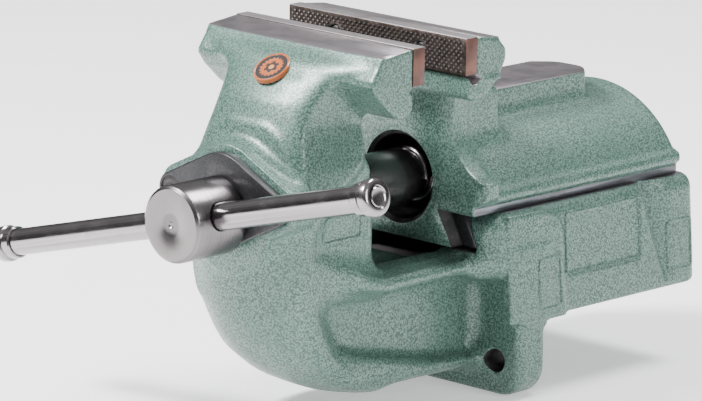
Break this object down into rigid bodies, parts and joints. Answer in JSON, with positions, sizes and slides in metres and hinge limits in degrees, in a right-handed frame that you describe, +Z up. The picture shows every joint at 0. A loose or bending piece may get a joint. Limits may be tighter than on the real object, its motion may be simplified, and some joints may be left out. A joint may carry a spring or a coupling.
{
  "type": "bench vise",
  "caption": "Bench vise with a fixed front jaw, sliding rear jaw on a dovetail, screw spindle with a tommy bar, and bolt-on bench lugs.",
  "frame": {"origin": "centre of the machined bench seat, the strip that rests on the bench top behind the lug plate", "axes": "X along the jaws, +Y from the tommy bar to the back of the slide, +Z up; the spindle's axis runs along Y, 73 mm above the origin"},
  "size_m": [0.2693, 0.33, 0.197],
  "materials": {
    "casting_paint": "green hammertone enamel",
    "slide_paint": "green hammertone enamel",
    "plate_steel": "knurled hardened steel",
    "screw_steel": "dark oiled steel",
    "spindle_steel": "turned bright steel",
    "bar_steel": "bright drawn steel",
    "cap_steel": "bright steel",
    "black_steel": "black satin",
    "nut_steel": "machined steel",
    "badge_enamel": "orange and black enamel"
  },
  "bodies": {
    "body": {"fixed_body": "casting_paint", "front_jaw_plate": "plate_steel", "front_plate_screw_left": "screw_steel", "front_plate_screw_right": "screw_steel", "spindle_flange": "black_steel", "flange_screw_left": "screw_steel", "flange_screw_right": "screw_steel", "taper_gib": "black_steel", "gib_screw": "screw_steel", "badge": "badge_enamel"},
    "slide": {"sliding_jaw": "slide_paint", "rear_jaw_plate": "plate_steel", "rear_plate_screw_left": "screw_steel", "rear_plate_screw_right": "screw_steel", "spindle_nut": "nut_steel", "nut_screw_left": "screw_steel", "nut_screw_right": "screw_steel"},
    "spindle": {"spindle": "spindle_steel"},
    "handle": {"handle_bar": "bar_steel", "handle_cap_left": "cap_steel", "handle_cap_right": "cap_steel"}
  },
  "joints": [
    {"name": "spindle_turn", "type": "hinge", "parent": "body", "child": "spindle", "pos_m": [0, -0.20245, 0.073], "axis": [0, -1, 0], "range_deg": [-1720, 5755]},
    {"name": "jaw_slide", "type": "slide", "parent": "body", "child": "slide", "axis": [0, 1, 0], "range_m": [-0.0287, 0.096]},
    {"name": "handle_slide", "type": "slide", "parent": "spindle", "child": "handle", "axis": [0.9673, 0, 0.2538], "range_m": [-0.0965, 0.1125]}
  ],
  "couplings": [
    {"joint": "jaw_slide", "follows": "spindle_turn", "m_per_rad": 0.00095493}
  ]
}
